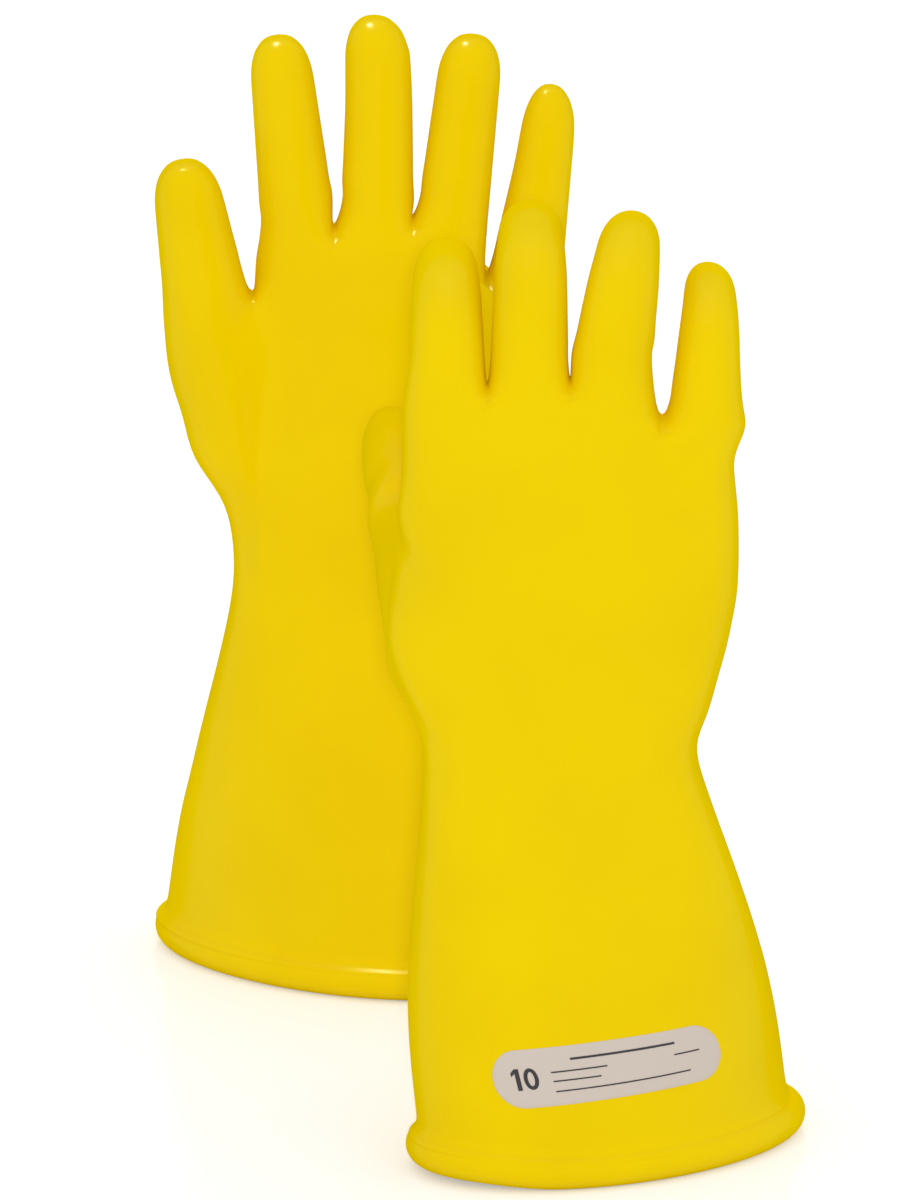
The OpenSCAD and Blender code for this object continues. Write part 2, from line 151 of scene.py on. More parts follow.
# The body's oval at a height: centre, half width, half depth, roundness and twist.
def bodyOval(side, z):
    pose = poses[side]
    low = max(0, (hand["wristHeight"] - z) / (hand["wristHeight"] - hand["cuffEnd"]))
    up = max(0, (z - hand["wristHeight"]) / (hand["crotchHeight"] - hand["wristHeight"]))
    if z < hand["wristHeight"]:
        flare = math.sin(math.radians(90 * low)) ** hand["cuffFlare"]
        width = mix(hand["wristWidth"], hand["cuffWidth"], flare)
        depth = mix(hand["wristDepth"], hand["cuffDepth"], flare)
        centre = pose["wristShift"] * (1 - low ** pose["shiftCurve"]) + pose["mouthShift"] * low
    else:
        spread = math.sin(math.radians(90 * min(1, hand["palmSpread"] * up)))
        width = mix(hand["wristWidth"], hand["palmWidth"], spread)
        depth = mix(hand["wristDepth"], hand["knuckleDepth"], up)
        centre = mix(pose["wristShift"], pose["palmShift"], up)
    roundness = mix(pose["mouthRound"], hand["palmRound"], ease(1 - low))
    return centre, width / 2, depth / 2, roundness, math.radians(pose["cuffTwist"] * ease(low))


def bodyPoint(side, angle, z, offset=0.0):
    centre, halfWidth, halfDepth, roundness, twist = bodyOval(side, z)
    x = (halfWidth + offset) * power(math.cos(angle), roundness)
    y = (halfDepth + offset) * power(math.sin(angle), roundness)
    return np.array([
        x * math.cos(twist) - y * math.sin(twist) + centre,
        x * math.sin(twist) + y * math.cos(twist),
        z,
    ])


# The mouth turns up a little off the floor round one place on its oval, and the lift dies out up the cuff.
turnUp = {"angle": 190, "nearness": 0.6, "height": 50}


def mouthLift(side, angle, z):
    near = math.cos(angle - math.radians(turnUp["angle"]))
    share = ease((near - turnUp["nearness"]) / (1 - turnUp["nearness"]))
    return poses[side]["mouthLift"] * share * (1 - ease((z - hand["cuffEnd"]) / turnUp["height"]))


# The angle round the palm's oval at which a column lies over a given place across it.
def angleAcross(x, back):
    share = min(1, max(-1, x / (hand["palmWidth"] / 2)))
    angle = math.acos(math.copysign(abs(share) ** (hand["palmRound"] / 2), share))
    return -angle if back else angle


# What sets each digit apart from its twin on the other hand: (x, z) shifts at its root and at its tip, a bow
# to the side between them, its thickness at both ends, how blunt its tip is, and how it flares at its root.
traits = {
    "right": {
        "thumb": {"root": (1.8, 0), "tip": (-6, -1), "bow": 1.4, "thick": (1, 1.08)},
        "index": {"root": (-0.3, 0), "tip": (-0.7, 0.8), "thick": (0.97, 0.97)},
        "middle": {"root": (-0.5, 0), "tip": (-1.5, 1.3)},
        "ring": {"root": (-1.1, 0), "tip": (2.1, 0), "thick": (1.05, 0.96), "blunt": 2.2},
        "little": {
            "root": (1.5, 0), "tip": (1.4, 0), "bow": 1.2, "thick": (1.05, 0.97), "blunt": 2.1, "flare": 0.06,
        },
    },
    "left": {
        "thumb": {"root": (0, 0), "tip": (-0.9, 1)},
        "index": {"root": (0.9, 0), "tip": (-0.9, 1), "thick": (0.99, 0.975)},
        "middle": {"root": (1.5, 0), "tip": (0.1, 1), "bow": 1.2, "thick": (0.965, 0.985), "blunt": 2.25},
        "ring": {"root": (0, 0), "tip": (1.3, 1.4), "thick": (0.94, 1)},
        "little": {"root": (-3.6, 0), "tip": (-0.8, 1.8), "bow": 0.9, "thick": (1.09, 1), "blunt": 2.25},
    },
}
plainTrait = {"bow": 0, "thick": (1, 1), "blunt": 2.4, "flare": 0}
flareLength = 13
bowScale = 27 / 4  # brings the top of t * t * (1 - t) to 1


def traitOf(side, name):
    return {**plainTrait, **traits[side][name]}


# A digit's root, the ways along it and out of its palm side, and its curl.
def digitFrame(side, name):
    pose = poses[side]
    k = digitNames.index(name)
    slant = math.radians(pose["slant"][k])
    lean = math.radians(pose["lean"][k])
    along = np.array([math.sin(slant), math.cos(slant) * math.sin(lean), math.cos(slant) * math.cos(lean)])
    flat = np.array([0, math.cos(lean), -math.sin(lean)])
    roll = math.radians(pose["roll"]) if name == "thumb" else 0
    palmar = unit(flat * math.cos(roll) + np.cross(flat, along) * math.sin(roll))
    if name == "thumb":
        root = np.array(pose["thumbRoot"], float)
    else:
        drop = pose["drop"] if name == "little" else 0
        height = hand["crotchHeight"] + hand["rootRise"] - drop
        root = np.array([pose["palmShift"] + digits[name]["across"], 0, height])
    return root, along, palmar, math.radians(pose["curl"][k])


# The middle line of a digit at a distance from its root, with its two cross directions there.
def digitStation(side, name, s):
    root, along, palmar, curl = digitFrame(side, name)
    rate = curl / digits[name]["length"]
    angle = rate * max(0, s)
    run = s if s <= 0 else math.sin(angle) / rate
    rise = 0 if s <= 0 else (1 - math.cos(angle)) / rate
    here = root + along * run + palmar * rise
    trait = traitOf(side, name)
    t = min(1, max(0, s / digits[name]["length"]))
    bow = trait["bow"] * bowScale * t * t * (1 - t)
    aside = mix(trait["root"][0], trait["tip"][0], t) + bow
    here = here + np.array([aside, 0, mix(trait["root"][1], trait["tip"][1], t)])
    towards = palmar * math.cos(angle) - along * math.sin(angle)
    return here, np.cross(palmar, along), towards


def digitSize(side, name, s):
    size = digits[name]
    t = min(1, max(0, s / size["length"]))
    end = size["end"] * poses[side]["draw"]
    share = mix(1, size["middle"], t * 2) if t < 0.5 else mix(size["middle"], end, t * 2 - 1)
    u = max(0, (s + hand["tipLength"] - size["length"]) / hand["tipLength"])
    trait = traitOf(side, name)
    blunt = trait["blunt"]
    share *= (1 - min(1, u) ** blunt) ** (1 / blunt) * mix(*trait["thick"], t)
    share *= 1 + trait["flare"] * max(0, 1 - s / flareLength)
    return size["width"] / 2 * share, size["depth"] / 2 * share


loopAngles = [0, 45, 90, 135, 180, 225, 270, 315]
digitRound = 2.15


def digitRing(side, name, s):
    here, across, towards = digitStation(side, name, s)
    halfWidth, halfDepth = digitSize(side, name, s)
    ring = []
    for degrees in loopAngles:
        c, d = ovalShares(degrees, digitRound)
        ring.append(here + across * halfWidth * c + towards * halfDepth * d)
    return ring


# The skin's lines run up it in columns: t0 to t8 on the palm and b0 to b8 on the back, s4 up the little
# finger's edge, and sT up the thumb's, between u1, u0 and l0, l1. At its top, s0 is the index finger's edge
# and s1 to s3 are the crotches.
thumbAngles = {"u1": 90, "u0": 45, "sT": 0, "l0": -45, "l1": -90}
palmColumns = ["t%d" % k for k in range(9)]
backColumns = ["b%d" % k for k in range(8, -1, -1)]
fullRing = ["sT", "u0", "u1"] + palmColumns + ["s4"] + backColumns + ["l1", "l0"]
palmRing = ["s0"] + palmColumns + ["s4"] + backColumns

# The fleshy base of the thumb. Each of its rows is a height on the palm, with a section of the thumb's own
# tube: its middle, width, depth, how far it has turned into the thumb's frame, and how much of it shows.
# The points given one by one shape its back and the web beside it. Then come the first rings of the thumb
# (middle, width and depth), the palm's rows above it with how much the web lifts each, how far the palm's
# edge moves in there, and the (x, z) places of the three crotches.
thumbBase = {
    "right": {
        "rows": [
            (160, (-53, 4, 160), 32, 29, 0, 0.3),
            (172, (-59.5, 7, 171), 34, 30, 0.2, 0.8),
            (184, (-62, 11, 183), 35, 30, 0.4, 1),
            (196, (-62, 18, 196), 34.5, 30, 0.65, 1),
            (208, (-66, 27, 207), 33, 29, 0.9, 1),
        ],
        "web": {
            "s0": (-67.5, 11, 224),
            "t0": (-55, 19, 214),
            "b0": (-70.3, -1, 220),
            "l1": (-74.5, 12.5, 213),
        },
        "set": {
            160: {"b0": (-60.5, -13.3, 160), "l1": (-64.8, -7.8, 160), "l0": (-67, -2.5, 160)},
            172: {
                "b0": (-66.3, -11.6, 172),
                "l1": (-71.2, -4.2, 172),
                "l0": (-73.2, 2, 171),
                "sT": (-73.2, 6.4, 168.5),
            },
            184: {
                "b0": (-70.6, -9, 184),
                "l1": (-75, -0.5, 184),
                "l0": (-75.7, 3.5, 180),
                "sT": (-75.6, 13, 176),
            },
            196: {"b0": (-71.8, -5.5, 197), "l1": (-75, 4.5, 197), "l0": (-77.4, 13.3, 191)},
            226: {"b0": (-69.3, -6.5, 230)},
            239: {"b0": (-67.3, -8.5, 241)},
        },
        "after": [((-66.8, 35, 214), 31, 28), ((-68.6, 43, 219.5), 30, 27.4)],
        "palmRows": [(226, 7), (239, 3), (251, 0), (262, 0), (272, 0)],
        "edgeIn": 0,
        "crotches": [(-41, 279), (-12.6, 281), (17.8, 268.5)],
    },
    "left": {
        "rows": [
            (163, (-24, 1.5, 163), 32, 28, 0, 0.2),
            (178, (-31.5, 2.2, 178), 34, 29, 0, 0.5),
            (193, (-38, 3, 193), 35, 30, 0, 0.85),
            (208, (-40.4, 3.6, 208), 35, 30, 0, 0.97),
            (222, (-44.1, 4.5, 222), 34.5, 29.5, 0, 1),
            (236, (-47, 5.3, 236), 32.5, 28.5, 0, 1),
            (248, (-48.5, 5.8, 248), 31, 27.8, 0, 1),
        ],
        "web": {"s0": (-32, 3, 254), "t0": (-32.5, 12.5, 250), "b0": (-32.5, -8.5, 250)},
        "set": {},
        "after": [],
        "palmRows": [(262, 2), (271.5, 0)],
        "edgeIn": 3,
        "crotches": [(-2.8, 279), (25.5, 282.5), (51.5, 262)],
    },
}
webShare = 0.85  # how closely t0 and b0 follow the columns beside them
webLifts = {"s0": 1, "t0": 0.5, "b0": 0.7}  # the share of a palm row's lift that each column takes
# How far the body's two edges stand from the plain oval, by height: the thumb's edge, then the other one.
trims = {
    "right": (
        [(20, -0.7), (50, -0.6), (90, 0), (280, 0)],
        [
            (20, -1.5), (60, -0.8), (110, 0), (135, -0.4), (148, 0.3), (164, 1.7), (186, 3.3), (201, 3.5),
            (215, 3), (226, 1.7), (239, 0.6), (251, -0.7), (262, -1.3), (272, 0.6), (280, 2.2),
        ],
    ),
    "left": (
        [
            (20, -0.7), (38, -0.3), (54, 0.3), (70, 0.9), (90, 0.7), (110, 0.2), (160, -0.3), (175, 0),
            (280, 0),
        ],
        [(20, 0), (236, 0), (262, -1.6), (280, -1.6)],
    ),
}
# The cuff starts on the rolled edge with a small fillet: height and how far it stands out.
cuffFillet = [(9.8, 3.9), (10.9, 3.25), (12, 1.8), (13.3, 0.85), (15.2, 0.3), (18.5, 0.05)]
cuffHeights = [26, 40, 55, 70, 86, 102, 118, 134, 148]
cuffRows = cuffFillet + [(z, 0) for z in cuffHeights]


# Where each column of the palm runs at its top: over the middle of a finger or between two fingers.
def columnsAtTop():
    middles = [digits[name]["across"] for name in digitNames[1:]]
    halves = [digits[name]["width"] / 2 for name in digitNames[1:]]
    edge = 0.74  # the share of a half width at which the outermost columns run
    return [
        middles[0] - halves[0] * edge,
        middles[0],
        (middles[0] + middles[1]) / 2,
        middles[1],
        (middles[1] + middles[2]) / 2,
        middles[2],
        (middles[2] + halves[2] + middles[3] - halves[3]) / 2,
        middles[3],
        middles[3] + halves[3] * edge,
    ]


topColumns = columnsAtTop()
# Where the columns beside the thumb's tube run on the palm's oval, in degrees.
lobeAngles = {"u0": 168, "u1": 156, "t0": 143, "b0": -143, "l1": -156, "l0": -168}
columnStep = 360 / len(fullRing)
# Where the columns turn towards their fingers, where the knuckles get flatter and by how much, and how much
# of edgeIn the columns beside the edge take.
columnPlan = {
    "turnFrom": 60,
    "turnOver": 160,
    "flatFrom": 250,
    "flatOver": 30,
    "flatBy": 0.12,
    "besideEdge": 0.6,
}
# The palm's top is lower on the little finger's side. It falls from beside the ring finger's middle to beside
# the little finger's, and more and more steeply up the palm.
dropPlan = {"pastRing": 7, "beforeLittle": 12, "curve": 3}


def topDrop(side, x):
    low = digits["ring"]["across"] + dropPlan["pastRing"]
    high = digits["little"]["across"] - dropPlan["beforeLittle"]
    return poses[side]["drop"] * ease((x - low) / (high - low))


# A column's point on the body's oval. The columns start in even steps and turn towards their fingers.
def columnPoint(side, column, z, offset=0.0):
    even = math.radians(180 - columnStep * fullRing.index(column)) if column != "s0" else math.pi
    if column in ("s0", "sT"):
        final = math.pi
    elif column == "s4":
        final = 0
    elif column in lobeAngles and z <= thumbBase[side]["rows"][-1][0]:
        final = math.radians(lobeAngles[column])
    else:
        final = angleAcross(topColumns[int(column[1])], column[0] == "b")
    t = ease((z - columnPlan["turnFrom"]) / columnPlan["turnOver"])
    angle = mix(even, final, t)
    p = bodyPoint(side, angle, z, offset)
    trim = trims[side][0 if math.cos(angle) < 0 else 1]
    p[0] += np.interp(z, [k[0] for k in trim], [k[1] for k in trim]) * abs(math.cos(angle))
    p[1] *= 1 - columnPlan["flatBy"] * ease((z - columnPlan["flatFrom"]) / columnPlan["flatOver"])
    up = max(0, (z - hand["wristHeight"]) / (hand["crotchHeight"] - hand["wristHeight"]))
    pose = poses[side]
    fromMiddle = p[0] - mix(pose["wristShift"], pose["palmShift"], up)
    p[2] -= topDrop(side, fromMiddle) * up ** dropPlan["curve"]
    p[2] += mouthLift(side, angle, z)
    if column in ("s0", "t0", "b0") and z > columnPlan["flatFrom"]:
        p[0] += thumbBase[side]["edgeIn"] * (1 if column == "s0" else columnPlan["besideEdge"])
    return p


# A section of the thumb's tube: its columns go round it from the palm's side to the back.
def thumbSection(side, middle, width, depth, turned):
    _, along, palmar, _ = digitFrame(side, "thumb")
    across = np.cross(palmar, along)
    out = unit(mix(np.array([-1.0, 0, 0]), -across, turned))
    front = mix(np.array([0, 1.0, 0]), palmar, turned)
    front = unit(front - out * np.dot(front, out))
    section = {}
    for column, degrees in thumbAngles.items():
        c = math.cos(math.radians(degrees))
        d = math.sin(math.radians(degrees))
        section[column] = np.array(middle, float) + out * (width / 2 * c) + front * (depth / 2 * d)
    return section


# The points and four-sided faces that the smooth skin is made from, with the part that each face goes to.
# Part 0 is the gauntlet, and then come the root and the end of each digit in turn.
class Cage:
    def __init__(self, side):
        self.side = side
        self.points = []
        self.faces = []
        self.parts = []

    def add(self, p):
        self.points.append(np.array(p, float))
        return len(self.points) - 1

    def band(self, low, high, part, turned=False):
        n = len(low)
        for i in range(n):
            j = (i + 1) % n
            face = (low[i], low[j], high[j], high[i])
            self.faces.append(face[::-1] if turned else face)
            self.parts.append(part)


# The rings of a digit: distances from its root, which stop a gap short of its rounded end, then shares of
# that end. Its root piece starts at the first border and its end piece at the second.
fingerStations = [4, 11, 18, 24, 30, 36, 42]
tipStations = [0.3, 0.56, 0.78, 0.93]
stationGap = 3
rootBorder = 4
endBorder = 18
thumbRound = 2.2


def partAt(s, part):
    if s <= rootBorder:
        return 0
    return part if s <= endBorder else part + 1


def addDigit(cage, name, loop, part):
    side = cage.side
    length = digits[name]["length"]
    shoulder = length - hand["tipLength"]
    ring = loop
    for middle, width, depth in thumbBase[side]["after"] if name == "thumb" else []:
        _, across, towards = digitStation(side, name, 0)
        above = []
        for degrees in loopAngles:
            c, d = ovalShares(degrees, thumbRound)
            p = np.array(middle, float) + across * (width / 2 * c) + towards * (depth / 2 * d)
            above.append(cage.add(p))
        cage.band(ring, above, 0)
        ring = above
    stations = [s for s in fingerStations if s < shoulder - stationGap] + [shoulder]
    stations += [shoulder + hand["tipLength"] * u for u in tipStations]
    for s in stations:
        above = [cage.add(p) for p in digitRing(side, name, s)]
        cage.band(ring, above, partAt(s, part))
        ring = above
    cap = cage.add(digitStation(side, name, length)[0])
    for k in (0, 2, 4, 6):
        cage.faces.append((cap, ring[(k - 1) % 8], ring[k], ring[k + 1]))
        cage.parts.append(part + 1)


# The top of the palm: each column leads into its own finger, at a place on the finger's loop.
ringColumns = [
    ("index", {"s0": 4, "t0": 3, "t1": 2, "b1": 6, "b0": 5}),
    ("middle", {"t3": 2, "b3": 6}),
    ("ring", {"t5": 2, "b5": 6}),
    ("little", {"t7": 2, "t8": 1, "s4": 0, "b8": 7, "b7": 6}),
]
# How far below its root a finger's loop is taken, how much of it the palm takes on, and how far the skin
# beside a crotch stands out and lies below it.
topPlan = {"below": 2, "share": 0.6, "crotchDepth": 11.8, "crotchDip": 5}


def topRow(side):
    row = {column: columnPoint(side, column, hand["crotchHeight"]) for column in palmRing}
    for name, columns in ringColumns:
        ring = digitRing(side, name, -topPlan["below"])
        for column, k in columns.items():
            row[column] = mix(row[column], ring[k], topPlan["share"])
    for k, (x, z) in enumerate(thumbBase[side]["crotches"]):
        beside = str(2 * k + 2)
        row["t" + beside] = np.array([x, topPlan["crotchDepth"], z - topPlan["crotchDip"]])
        row["b" + beside] = np.array([x, -topPlan["crotchDepth"], z - topPlan["crotchDip"]])
        row["s%d" % (k + 1)] = np.array([x, 0, z])
    return row


def setByHand(row, points):
    row.update({column: np.array(p, float) for column, p in points.items()})


def buildCage(side):
    cage = Cage(side)
    base = thumbBase[side]
    ring = [cage.add(columnPoint(side, column, *cuffRows[0])) for column in fullRing]
    for z, offset in cuffRows[1:]:
        above = [cage.add(columnPoint(side, column, z, offset)) for column in fullRing]
        cage.band(ring, above, 0, True)
        ring = above
    for z, middle, width, depth, turned, shows in base["rows"]:
        row = {column: columnPoint(side, column, z) for column in fullRing}
        section = thumbSection(side, middle, width, depth, turned)
        for column in section:
            row[column] = mix(row[column], section[column], shows)
        row["t0"] = mix(row["t0"], (row["t1"] + row["u1"]) / 2, shows * webShare)
        row["b0"] = mix(row["b0"], (row["b1"] + row["l1"]) / 2, shows * webShare)
        setByHand(row, base["set"].get(z, {}))
        if z == base["rows"][-1][0]:
            setByHand(row, base["web"])
        above = [cage.add(row[column]) for column in fullRing]
        cage.band(ring, above, 0, True)
        ring = above
    at = dict(zip(fullRing, ring))
    at["s0"] = cage.add(base["web"]["s0"])
    addDigit(cage, "thumb", [at[column] for column in ("s0", "t0", "u1", "u0", "sT", "l0", "l1", "b0")], 1)
    ring = [at[column] for column in palmRing]
    for z, lift in base["palmRows"]:
        row = {column: columnPoint(side, column, z + lift * webLifts.get(column, 0)) for column in palmRing}
        setByHand(row, base["set"].get(z, {}))
        above = [cage.add(row[column]) for column in palmRing]
        cage.band(ring, above, 0, True)
        ring = above
    top = {column: cage.add(p) for column, p in topRow(side).items()}
    cage.band(ring, [top[column] for column in palmRing], 0, True)
    for k, name in enumerate(digitNames[1:]):
        loop = [
            "s%d" % (k + 1), "t%d" % (2 * k + 2), "t%d" % (2 * k + 1), "t%d" % (2 * k),
            "s%d" % k, "b%d" % (2 * k), "b%d" % (2 * k + 1), "b%d" % (2 * k + 2),
        ]
        addDigit(cage, name, [top[column] for column in loop], 3 + 2 * k)
    return cage


fitTurns = 10
fitStep = 0.9


# Moves the cage so that the smooth surface passes through the points it was built from. The largest distance
# that is left comes back, in millimetres.
def fitCage(cage):
    target = np.array(cage.points)
    faces = np.array(cage.faces)
    n = len(target)
    pairs = np.concatenate([faces[:, [k, (k + 1) % 4]] for k in range(4)])
    keys, counts = np.unique(np.sort(pairs, axis=1), axis=0, return_counts=True)
    valence = np.bincount(keys.ravel(), minlength=n).astype(float)
    border = keys[counts == 1]
    onBorder = np.zeros(n, bool)
    onBorder[border.ravel()] = True
    points = target.copy()
    for _ in range(fitTurns):
        edgeSum = np.zeros((n, 3))
        np.add.at(edgeSum, keys[:, 0], points[keys[:, 1]])
        np.add.at(edgeSum, keys[:, 1], points[keys[:, 0]])
        faceSum = np.zeros((n, 3))
        for k in range(4):
            np.add.at(faceSum, faces[:, k], points[faces[:, (k + 2) % 4]])
        v = valence[:, None]
        limit = (v * v * points + 4 * edgeSum + faceSum) / (v * (v + 5))
        borderSum = np.zeros((n, 3))
        np.add.at(borderSum, border[:, 0], points[border[:, 1]])
        np.add.at(borderSum, border[:, 1], points[border[:, 0]])
        limit[onBorder] = (4 * points[onBorder] + borderSum[onBorder]) / 6
        points += (target - limit) * fitStep
    cage.points = points
    return float(np.abs(target - limit).max())


def meshObject(name, points, faces, parts=None):
    mesh = bpy.data.meshes.new(name)
    mesh.from_pydata([tuple(p) for p in points], [], [tuple(int(k) for k in f) for f in faces])
    if parts is not None:
        mesh.polygons.foreach_set("material_index", np.array(parts, dtype=np.int32))
    mesh.update()
    made = bpy.data.objects.new(name, mesh)
    bpy.context.collection.objects.link(made)
    return made


def addSmoothing(made, levels):
    smooth = made.modifiers.new("smooth", "SUBSURF")
    smooth.levels = levels
    smooth.render_levels = levels


# The mesh that an object's modifiers make. The object itself goes.
def applied(made):
    graph = bpy.context.evaluated_depsgraph_get()
    mesh = bpy.data.meshes.new_from_object(made.evaluated_get(graph))
    bpy.data.objects.remove(made)
    return mesh


def readVertices(mesh, what):
    values = np.empty(len(mesh.vertices) * 3)
    mesh.vertices.foreach_get(what, values)
    return values.reshape(-1, 3)


def facesOf(mesh):
    return [tuple(p.vertices) for p in mesh.polygons]


def smoothShade(mesh):
    mesh.polygons.foreach_set("use_smooth", np.ones(len(mesh.polygons), bool))


skinDetail = 2


def skinMesh(side):
    cage = buildCage(side)
    error = fitCage(cage)
    points = np.array([put(side, p) for p in cage.points])
    faces = cage.faces if poses[side]["flip"] > 0 else [f[::-1] for f in cage.faces]
    made = meshObject(side + "_skin", points, faces, cage.parts)
    addSmoothing(made, skinDetail)
    shell = made.modifiers.new("wall", "SOLIDIFY")
    shell.thickness = hand["wall"] * mm
    shell.offset = -1
    mesh = applied(made)
    print(side, "skin:", len(mesh.polygons), "faces, fitted to", round(error, 3), "mm")
    return mesh


# Cuts the skin into its pieces. They share the whole skin's normals, so no border between them shows.
def cutSkin(side, mesh, material):
    parts = np.empty(len(mesh.polygons), dtype=np.int32)
    mesh.polygons.foreach_get("material_index", parts)
    points = readVertices(mesh, "co")
    normals = readVertices(mesh, "normal")
    faces = facesOf(mesh)
    made = {}
    for part in sorted(set(parts.tolist())):
        chosen = [faces[k] for k in np.nonzero(parts == part)[0]]
        used = sorted({v for f in chosen for v in f})
        index = {v: k for k, v in enumerate(used)}
        if part == 0:
            name = side + "_gauntlet"
        else:
            name = side + "_" + digitNames[(part - 1) // 2] + ("_root" if part % 2 else "_end")
        piece = meshObject(name, points[used], [tuple(index[v] for v in f) for f in chosen])
        smoothShade(piece.data)
        piece.data.normals_split_custom_set_from_vertices([tuple(n) for n in normals[used]])
        piece.data.materials.append(material)
        made[part] = piece
    return made


# An sRGB hex colour as linear light.
def linear(code):
    rgb = [int(code[k:k + 2], 16) / 255 for k in (1, 3, 5)]
    return tuple(c / 12.92 if c <= 0.04045 else ((c + 0.055) / 1.055) ** 2.4 for c in rgb) + (1.0,)


# Adds a node with its settings, the values on its sockets, and its links from other nodes' outputs.
def addNode(owner, kind, settings=None, values=None, links=None):
    tree = owner.node_tree
    made = tree.nodes.new(kind)
    for key, value in (settings or {}).items():
        setattr(made, key, value)
    for key, value in (values or {}).items():
        made.inputs[key].default_value = value
    for key, (other, output) in (links or {}).items():
        tree.links.new(other.outputs[output], made.inputs[key])
    return made


def newMaterial(name):
    material = bpy.data.materials.new(name)
    material.use_nodes = True
    material.node_tree.nodes.clear()
    return material


# The scale of a noise whose patches are about this many millimetres across.
def noiseScale(size):
    return 1 / (size * mm)


# Natural rubber latex, dipped on a former and cured: an even, slightly glossy skin with faint clouding.
# The clouds are about 45 mm across. The skin's own texture is finer than 1 mm, too fine to show, so it is
# drawn 5.5 mm across. The gloss dies away towards grazing angles, so that the edges stay deep yellow.
rubberLook = {
    "colour": "#F1D100",
    "deep": "#EECD00",
    "cloudSize": 45,
    "cloudFrom": 0.35,
    "cloudTo": 0.62,
    "grainSize": 5.5,
    "grainStrength": 0.05,
    "grainDepth": 0.4,
    "roughness": 0.22,
    "sheen": "#FFF0A0",  # the tint of its highlights
    "gloss": 0.12,
    "glossTo": 0.25,  # how far a face may turn away and keep its gloss
    "rim": 0,
    "rimFrom": 0.55,  # how far it turns away to have the rim's
}


def dippedNaturalRubber():
    look = rubberLook
    material = newMaterial("dippedNaturalRubber")
    place = addNode(material, "ShaderNodeTexCoord")
    cloud = addNode(
        material, "ShaderNodeTexNoise",
        values={"Scale": noiseScale(look["cloudSize"]), "Detail": 3, "Roughness": 0.5},
        links={"Vector": (place, "Object")},
    )
    shade = addNode(material, "ShaderNodeValToRGB", links={"Fac": (cloud, "Fac")})
    shade.color_ramp.elements[0].position = look["cloudFrom"]
    shade.color_ramp.elements[0].color = linear(look["deep"])
    shade.color_ramp.elements[1].position = look["cloudTo"]
    shade.color_ramp.elements[1].color = linear(look["colour"])
    grain = addNode(
        material, "ShaderNodeTexNoise",
        values={"Scale": noiseScale(look["grainSize"]), "Detail": 2},
        links={"Vector": (place, "Object")},
    )
    bump = addNode(
        material, "ShaderNodeBump",
        values={"Strength": look["grainStrength"], "Distance": look["grainDepth"] * mm},
        links={"Height": (grain, "Fac")},
    )
    facing = addNode(material, "ShaderNodeLayerWeight", values={"Blend": 0.5})
    gloss = addNode(
        material, "ShaderNodeMapRange", {"interpolation_type": "SMOOTHSTEP"},
        {
            "From Min": look["glossTo"],
            "From Max": look["rimFrom"],
            "To Min": look["gloss"],
            "To Max": look["rim"],
        },
        {"Value": (facing, "Facing")},
    )
    surface = addNode(
        material, "ShaderNodeBsdfPrincipled",
        values={
            "Roughness": look["roughness"],
            "Specular Tint": linear(look["sheen"]),
            "Specular IOR Level": look["gloss"],
        },
        links={
            "Base Color": (shade, "Color"),
            "Normal": (bump, "Normal"),
            "Specular IOR Level": (gloss, "Result"),
        },
    )
    addNode(material, "ShaderNodeOutputMaterial", links={"Surface": (surface, "BSDF")})
    return material


rubber = dippedNaturalRubber()


skins = {}
for side in ("right", "left"):
    mesh = skinMesh(side)
    skins[side] = mesh
    parts = cutSkin(side, mesh, rubber)
    body = side + "_glove"
    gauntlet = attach(parts[0], body)
    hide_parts(side + "_cuff", side + "_hand")
    for k, name in enumerate(digitNames):
        rootPiece = parts[1 + 2 * k]
        endPiece = parts[2 + 2 * k]
        base = side + "_" + name + "_base"
        tip = side + "_" + name + "_tip"
        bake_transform(rootPiece)
        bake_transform(endPiece)
        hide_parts(base)
        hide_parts(tip)
print("skins made")


# The rolled edge: the same rubber, rolled up on itself and cured, with a small flat where it stands.
edgeRoll = {"radius": 6.5, "inset": 1.2, "flat": 0.35, "columns": 72, "steps": 22, "detail": 1}


def rolledEdge(side, material):
    radius = edgeRoll["radius"]
    middle = radius - edgeRoll["flat"]
    n = edgeRoll["steps"]
    columns = edgeRoll["columns"]
    section = []
    for k in range(n):
        a = 2 * math.pi * k / n
        section.append((radius * math.sin(a) - edgeRoll["inset"], max(0, middle + radius * math.cos(a))))
    points = []
    for k in range(columns):
        angle = 2 * math.pi * k / columns
        for offset, z in section:
            p = bodyPoint(side, angle, hand["cuffEnd"], offset)
            points.append(put(side, (p[0], p[1], z + mouthLift(side, angle, z))))
    faces = []
    for k in range(columns):
        a = k * n
        b = ((k + 1) % columns) * n
        for i in range(n):
            j = (i + 1) % n
            face = (a + i, a + j, b + j, b + i)
            faces.append(face if poses[side]["flip"] > 0 else face[::-1])
    name = side + "_rolledEdge"
    rough = meshObject(name, points, faces)
    addSmoothing(rough, edgeRoll["detail"])
    mesh = applied(rough)
    made = bpy.data.objects.new(name, mesh)
    bpy.context.collection.objects.link(made)
    smoothShade(mesh)
    mesh.materials.append(material)
    return made


for side in ("right", "left"):
    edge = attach(rolledEdge(side, rubber), side + "_glove")
    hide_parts(side + "_bead")
print("rolled edges made")


